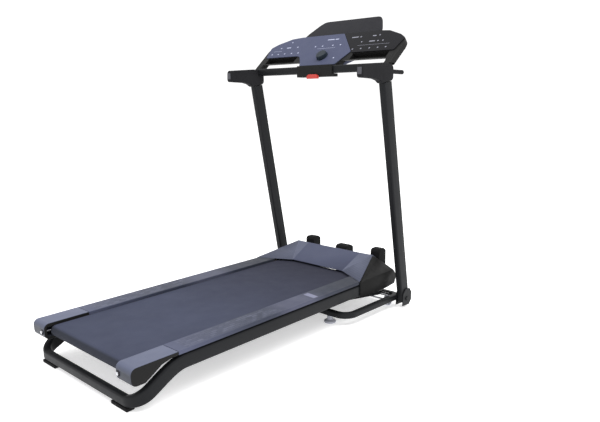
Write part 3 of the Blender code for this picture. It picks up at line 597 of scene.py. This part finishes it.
def hood():
    """The motor hood: a shell of eight corners a side, two dark covers and the storage feet."""
    edge, tip, facet_y = HOOD_EDGE_X, DECK_HALF - 0.0005, 1.325
    half = [(edge, HOOD_EDGE_Y, RAIL_TOP), (tip, HOOD_TIP_Y, RAIL_TOP),
            (FACET_X, RIDGE_Y, RIDGE_Z), (RIDGE_X, RIDGE_Y, RIDGE_Z),
            (FACET_X, facet_y, 0.188), (RIDGE_X, facet_y, 0.188),
            (FACET_X, HOOD_FRONT_Y, 0.100), (RIDGE_X, HOOD_FRONT_Y, 0.100)]
    corners = half + [(-x, y, z) for x, y, z in half]
    right = [(0, 1, 3), (0, 3, 2), (2, 3, 5, 4), (4, 5, 7, 6)]
    left = [tuple(i + len(half) for i in reversed(face)) for face in right]
    middle = [(8, 0, 2, 10), (10, 2, 4, 12), (12, 4, 6, 14)]
    flanks = (0, 1, 4, 5)
    hole = block((-0.1165, 1.30, 0.1105), (-0.0545, 1.36, 0.1375))
    add("hood_shell", skin(corners, right + left + middle, painted=flanks), DECK,
        "slate_plastic", "deck", ["hood"], 0.0030, 4, 8.0, SKIN, [(hole, DECK)],
        second=FLANK_PAINT)
    out, inn = 0.3180, 0.2278
    points = [(out, HOOD_TIP_Y, 0.1500), (inn, 1.2835, 0.2105), (inn, 1.3265, 0.1865),
              (out, 1.3250, 0.1500), (out, 1.3500, 0.1200), (out, 1.3350, 0.0860),
              (out, 1.2700, 0.0790), (out, HOOD_TIP_Y, 0.0790), (inn, 1.3420, 0.1250),
              (inn, 1.3380, 0.0900)]
    faces = [(0, 7, 6, 5, 4, 3), (0, 3, 2, 1), (3, 4, 8, 2), (4, 5, 9, 8)]
    for side, sign in SIDES:
        add(f"cover_{side}", skin([(sign * x, y, z) for x, y, z in points], faces), DECK,
            "black_plastic", "deck", [f"side_cover_{side}"], 0.0030, 3, 8.0, SKIN)
    storage = [(1.3365, 0.100), (1.3365, 0.215), (1.3460, 0.225), (1.3800, 0.225),
               (1.3950, 0.214), (1.3950, 0.100)]
    for place, middle_x, half_x, lower in (("left", -0.202, 0.025, 0.0),
                                           ("middle", 0.0, 0.034, 0.014),
                                           ("right", 0.202, 0.025, 0.0)):
        outline = [(y, z - lower if z > 0.15 else z) for y, z in storage]
        add(f"bumper_{place}", prism(outline, "X", middle_x - half_x, middle_x + half_x), DECK,
            "rubber", "deck", [f"storage_foot_{place}"], 0.005, 4)


# ---- floor frame ---------------------------------------------------------
def base_loop():
    """The floor frame's tube: tight corners at the front, wider ones at the rear."""
    front = arc(BASE_X - FRONT_CORNER_R, BASE_FRONT_Y - FRONT_CORNER_R, FRONT_CORNER_R,
                90, 0, 10)
    rear = arc(BASE_X - CORNER_R, BASE_REAR_Y + CORNER_R, CORNER_R, 0, -90, 12)
    half = [((x, y, BASE_Z), BASE_W, BASE_H) for x, y in front + rear]
    return half + [((-x, y, z), w, h) for (x, y, z), w, h in reversed(half)]


def wheel_profile():
    """A grooved wheel, from its tread in to its bore."""
    half, flat, web = 0.011, 0.008, 0.0085
    outer, rim, hub, bore = WHEEL_R - 0.003, 0.0175, 0.0080, 0.0043
    return [(-half, outer), (-0.0095, WHEEL_R - 0.0008), (-flat, WHEEL_R), (flat, WHEEL_R),
            (0.0095, WHEEL_R - 0.0008), (half, outer), (half, rim), (web, rim - 0.001),
            (web, hub + 0.001), (half, hub), (half, bore), (-half, bore), (-half, hub),
            (-web, hub + 0.001), (-web, rim - 0.001), (-half, rim)]


def bracket(side, sign):
    """A mast bracket: a slot for the post, the hinge pin's hole and, on the left, the lock's."""
    outline = [(1.300, 0.012), (1.350, 0.010), (1.368, 0.030), (1.368, 0.066), (1.352, 0.086),
               (1.318, 0.086), (1.300, 0.066)]
    low, high = span(sign, 0.3484, 0.3882)
    slot_low, slot_high = span(sign, 0.3524, 0.3842)
    hole_low, hole_high = span(sign, 0.340, 0.400)
    cuts = [(block((slot_low, 1.28, 0.0), (slot_high, 1.3640, 0.12)), FLOOR),
            (rod(hole_low, hole_high, PIN_HOLE_R, (0.0, MAST_Y, MAST_Z), "X"), FLOOR)]
    if side == "left":
        cuts.append((rod(1.355, 1.375, LOCK_HOLE_R, (sign * UPRIGHT_X, 0.0, LOCK_Z), "Y"), FLOOR))
    add(f"bracket_{side}", prism(outline, "X", low, high), FLOOR, "frame_black", "base",
        [f"mast_bracket_{side}"], 0.0016, 2, 40.0, cuts=cuts)


def floor_frame():
    add("floor_tube", swept(base_loop(), 0.006, closed=True), FLOOR, "frame_black", "base",
        ["base_frame"])
    foot = [(0.0, 0.0), (0.0, 0.0240), (0.0015, 0.0255), (0.0075, 0.0255), (0.0090, 0.0240),
            (0.0130, 0.0120), (0.0297, 0.0120), (0.0297, 0.0)]
    for side, sign in SIDES:
        bracket(side, sign)
        add(f"level_foot_{side}", turned(foot, (sign * 0.245, BASE_REAR_Y, 0.0), "Z"), FLOOR,
            "wheel_grey", "base", [f"base_foot_{side}"])
        add(f"wheel_{side}",
            turned(wheel_profile(), (sign * WHEEL_X, WHEEL_Y, WHEEL_R), "X", ring=True), FLOOR,
            "wheel_grey", f"transport_wheel_{side}", [f"transport_wheel_{side}"])


# ---- mast ----------------------------------------------------------------
def post(side, sign):
    """An upright: its foot is rounded so that it can turn in the bracket."""
    outline = section(UPRIGHT_W, UPRIGHT_D, 0.006)
    foot = [(sign * UPRIGHT_X + x, y, -0.9 * sqrt(FOOT_REACH ** 2 - (0.95 * y) ** 2) - 0.001)
            for x, y in outline]
    head = [(sign * UPRIGHT_X + x, y, UPRIGHT_TOP) for x, y in outline]
    low, high = span(sign, 0.345, 0.390)
    hole = rod(low, high, PIN_HOLE_R, (0.0, 0.0, 0.0), "X")
    add(f"post_{side}", rings_joined([foot, head]), MAST, "frame_black", "mast",
        [f"upright_{side}"], cuts=[(hole, MAST)])


def handle(side, sign):
    """A side handle that sweeps down over the post's head, with a grey inset in its rear end."""
    grip = [(0.9880, 0.9868), (1.0700, 0.9850), (1.0990, 0.9790), (1.1160, 0.9685),
            (1.1240, 0.9700), (1.1790, 0.9805), (1.1880, 0.9900), (1.1880, 1.0300),
            (1.1760, 1.0470), (1.1200, 1.0465), (0.9910, 1.0360), (0.9850, 1.0260),
            (0.9840, 0.9960)]
    low, high = span(sign, UPRIGHT_X - HANDLE_W / 2, UPRIGHT_X + HANDLE_W / 2)
    add(f"handle_{side}", prism(rounded(grip, 0.006, 3), "X", low, high), FLOOR,
        "moulded_grip", "mast", [f"handlebar_{side}"], 0.005, 4)
    low, high = span(sign, UPRIGHT_X - 0.010, UPRIGHT_X + 0.010)
    inset = [(0.9836, 0.9985), (0.9845, 1.0245), (0.9855, 1.0245), (0.9846, 0.9985)]
    add(f"handle_end_{side}", prism(inset, "X", low, high), FLOOR, "moulded_grip", "mast",
        paint=END_GREY)


def mast():
    for side, sign in SIDES:
        post(side, sign)
        handle(side, sign)
    peg = [(1.1600, 0.0), (1.1600, 0.0085), (1.2685, 0.0085), (1.2700, 0.0070), (1.2700, 0.0)]
    add("stay_peg", turned(peg, (UPRIGHT_X, 0.0, PEG_Z), "Y", 32), FLOOR, "moulded_grip", "mast")
    inner = UPRIGHT_X - HANDLE_W / 2 - GAP
    tube = [((x, CROSSBAR_Y, CROSSBAR_Z), CROSSBAR_W, CROSSBAR_H) for x in (-inner, inner)]
    add("cross_tube", swept(tube, 0.007), FLOOR, "frame_black", "mast", ["crossbar"])
    profile = [(1.1435, 1.0040), (1.1850, 1.0040), (1.1850, 1.0165), (1.1505, 1.0165),
               (1.1505, 1.0520), (1.1435, 1.0520)]
    add("key_socket", prism(profile, "X", -0.100, 0.100), FLOOR, "black_plastic", "mast",
        ["key_housing"], 0.0015, 2)
    key = [(-0.030, 0.9960), (0.030, 0.9960), (0.030, 1.0080), (0.020, 1.0140),
           (-0.020, 1.0140), (-0.030, 1.0080)]
    add("stop_key", prism(key, "Y", 1.1290, 1.1432), FLOOR, "key_red", "safety_key",
        ["safety_key"], 0.002, 3)


# ---- console -------------------------------------------------------------
def mirrored(half):
    return half + [(-x, y) for x, y in reversed(half)]


def console_cuts():
    """What the console's back leaves free: two trays, and room for handles and crossbar."""
    cuts = []
    for side, sign in SIDES:
        low, high = span(sign, 0.160, 0.343)
        tray = [(1.1500, TRAY_FLOOR), (1.2174, TRAY_FLOOR), (1.2275, 1.0806), (1.2036, 1.1075),
                (1.1500, TRAY_FLOOR + 0.001)]
        cuts.append((prism(tray, "X", low, high), FLOOR))
        low, high = span(sign, 0.1125, 0.3500)
        cuts.append((block((low, 1.10, 0.90), (high, 1.30, TRAY_FLOOR - 0.004)), FLOOR))
        low, high = span(sign, 0.330, 0.420)
        cuts.append((block((low, 1.05, 0.90), (high, 1.1884, 1.0475)), FLOOR))
    cuts.append((block((-0.353, 1.10, 0.90), (0.353, 1.1819, 1.0500)), FLOOR))
    cuts.append((block((-0.420, 1.16, 0.90), (0.420, 1.30, 1.0260)), FLOOR))
    return cuts


def console():
    back = [(0.100, -0.012), (0.112, 0.017), (0.136, 0.018), (0.350, 0.018), (0.352, -0.060),
            (0.383, -0.060), (0.386, 0.120), (0.378, 0.145), (0.350, 0.168), (0.278, 0.201),
            (0.222, 0.207)]
    add("console_shell", prism(rounded(mirrored(back), 0.012, 3), "Z", -0.0300, -0.0040), PANEL,
        "black_plastic", "mast", ["console_back"], 0.0035, 4, 20.0, cuts=console_cuts())
    rear = [(0.070, 0.030), (0.150, 0.085), (0.150, 0.165), (0.110, 0.190)]
    add("rear_cover", prism(rounded(mirrored(rear), 0.020), "Z", -0.0520, -0.0303), PANEL,
        "slate_plastic", "mast", ["console_rear_cover"], 0.008, 5)
    face = [(-0.362, 0.068), (-0.378, 0.140), (-0.348, 0.166), (-0.276, 0.199), (-0.220, 0.205),
            (0.031, 0.205), (0.141, 0.077), (0.110, 0.017), (0.101, -0.003), (-0.101, -0.003),
            (-0.110, 0.017), (-0.141, 0.060), (-0.160, 0.068)]
    shaft_hole = rod(-0.010, 0.010, 0.0050, (0.0, KNOB_V, 0.0), "Z")
    add("face_plate", prism(rounded(face, 0.006, 3), "Z", PLATE_UNDER, 0.0), PANEL,
        "slate_plastic", "mast", ["console_face"], 0.0012, 3, cuts=[(shaft_hole, PANEL)],
        paint=CONSOLE_BLUE)
    window = [(0.0335, 0.205), (0.220, 0.205), (0.276, 0.199), (0.348, 0.166), (0.378, 0.140),
              (0.362, 0.068), (0.150, 0.068), (0.1425, 0.0785)]
    add("window", prism(rounded(window, 0.006, 3), "Z", PLATE_UNDER, WINDOW_FACE), PANEL,
        "gloss_black", "mast", ["display_window"], 0.0010, 3)
    knob = [(-0.0036, 0.0), (-0.0036, 0.0045), (0.0005, 0.0045), (0.0005, 0.0270),
            (0.0150, 0.0240), (0.0170, 0.0220), (0.0170, 0.0)]
    add("dial", turned(knob, (0.0, KNOB_V, 0.0), "Z", 16), PANEL, "knob_navy", "speed_knob",
        ["speed_knob"], 0.0009, 2, 20.0)
    tablet = [(0.217, 0.2105), (0.213, 0.235), (0.175, 0.305), (0.155, 0.324)]
    add("tablet_rest", prism(rounded(mirrored(tablet), 0.020), "Z", -0.0180, -0.0100), PANEL,
        "gloss_black", "mast", ["tablet_holder"], 0.0020, 3, paint=TABLET)
    marks()


def disc(x, v, radius, sides=20):
    return [(x + radius * cos(2 * pi * k / sides), v + radius * sin(2 * pi * k / sides))
            for k in range(sides)]


def bar(x, v, wide, tall):
    return [(x - wide / 2, v - tall / 2), (x + wide / 2, v - tall / 2),
            (x + wide / 2, v + tall / 2), (x - wide / 2, v + tall / 2)]


def marked(kind, outlines, paint, base):
    """Raises a row of numbered marks on the panel."""
    for number, outline in enumerate(outlines):
        add(f"{kind}_{number}", prism(outline, "Z", base, base + MARK_THICK), PANEL,
            "slate_plastic", "mast", paint=paint)


def marks():
    """Plain shapes where the panel carries its buttons."""
    keys = [(-0.337, 0.090), (-0.297, 0.090), (-0.255, 0.090), (-0.212, 0.090), (-0.170, 0.090),
            (-0.306, 0.133), (-0.201, 0.133), (-0.260, 0.172), (-0.088, 0.126), (-0.046, 0.126),
            (0.013, 0.126), (0.056, 0.126), (0.071, 0.039)]
    marked("key", [disc(x, v, 0.0038) for x, v in keys], MARK_PALE, 0.0)
    bars = [(-0.315, 0.111, 0.052, 0.0012), (-0.257, 0.133, 0.026, 0.0060),
            (-0.015, 0.109, 0.100, 0.0012), (-0.022, 0.168, 0.038, 0.0055),
            (0.013, 0.168, 0.018, 0.0055)]
    marked("bar", [bar(*row) for row in bars], MARK_PALE, 0.0)
    keys = [(0.143, 0.089), (0.187, 0.089), (0.231, 0.089), (0.273, 0.089), (0.313, 0.089),
            (0.166, 0.134), (0.250, 0.134), (0.275, 0.134), (0.143, 0.170), (0.240, 0.172)]
    marked("window_key", [disc(x, v, 0.0036) for x, v in keys], MARK_DIM, WINDOW_FACE)
    bars = [(0.238, 0.111, 0.163, 0.0010), (0.220, 0.134, 0.028, 0.0060),
            (0.112, 0.170, 0.034, 0.0060), (0.214, 0.170, 0.018, 0.0060)]
    marked("window_bar", [bar(*row) for row in bars], MARK_DIM, WINDOW_FACE)


deck()
hood()
floor_frame()
mast()
console()

# every CAD node that still shows takes its own slot's finish, save the mast pins, painted black
slots = {row["node"]: row["material_slot"] for row in frame["record"]["subparts"]}
for name, kept in frame["nodes"].items():
    if not kept.hide_render:
        slot = "frame_black" if name.startswith("mast_pin") else slots[name]
        kept.data.materials.clear()
        kept.data.materials.append(PAINT[slot])

# ---- stage ---------------------------------------------------------------
FLOOR_HALF, FLOOR_GLOW, SKY_STRENGTH = 30, 0.50, 1.12
WHITE = (1.0, 1.0, 1.0, 1.0)

ground = bpy.data.meshes.new("ground")
ground.from_pydata([(x * FLOOR_HALF, y * FLOOR_HALF, 0)
                    for x, y in ((-1, -1), (1, -1), (1, 1), (-1, 1))], [], [(0, 1, 2, 3)])
floor = bpy.data.objects.new("studio_floor", ground)
bpy.context.scene.collection.objects.link(floor)
ground.materials.append(look("floor_white", (0.88, 0.88, 0.885), 0.75, 0.10, 0.01, 0.0, 200.0,
                             spread=0.02))
glow = ground.materials[0].node_tree.nodes["Principled BSDF"]
glow.inputs["Emission Color"].default_value = WHITE
glow.inputs["Emission Strength"].default_value = FLOOR_GLOW

world = bpy.data.worlds.new("studio")
bpy.context.scene.world = world
world.use_nodes = True
sky = world.node_tree.nodes["Background"]
sky.inputs["Color"].default_value = WHITE
sky.inputs["Strength"].default_value = SKY_STRENGTH


def lamp(name, place, target, size, power):
    light = bpy.data.lights.new(name, "AREA")
    light.shape = "DISK"
    light.size = size
    light.energy = power
    holder = bpy.data.objects.new(name, light)
    holder.location = place
    aim = Vector(target) - Vector(place)
    holder.rotation_euler = aim.to_track_quat("-Z", "Y").to_euler()
    bpy.context.scene.collection.objects.link(holder)


lamp("key_lamp", (0.6, -0.5, 3.9), (0.0, 0.0, 0.3), 2.4, 60.0)
lamp("top_lamp", (1.6, 1.4, 3.4), (0.0, 0.2, 0.4), 2.6, 36.0)

# the camera was fitted to the photograph's edges
CAMERA_PLACE = (1.7458, -1.5217, 0.8919)
CAMERA_TILT, CAMERA_TURN = radians(76.535), radians(40.72)
camera_data = bpy.data.cameras.new("camera")
camera_data.sensor_width = 36.0
camera_data.lens = 35.30
camera_data.shift_x = -0.0398
camera_data.shift_y = 0.056
camera = bpy.data.objects.new("camera", camera_data)
camera.location = CAMERA_PLACE
camera.rotation_euler = (CAMERA_TILT, 0.0, CAMERA_TURN)
bpy.context.scene.collection.objects.link(camera)
bpy.context.scene.camera = camera
bpy.context.scene.view_settings.view_transform = "Standard"
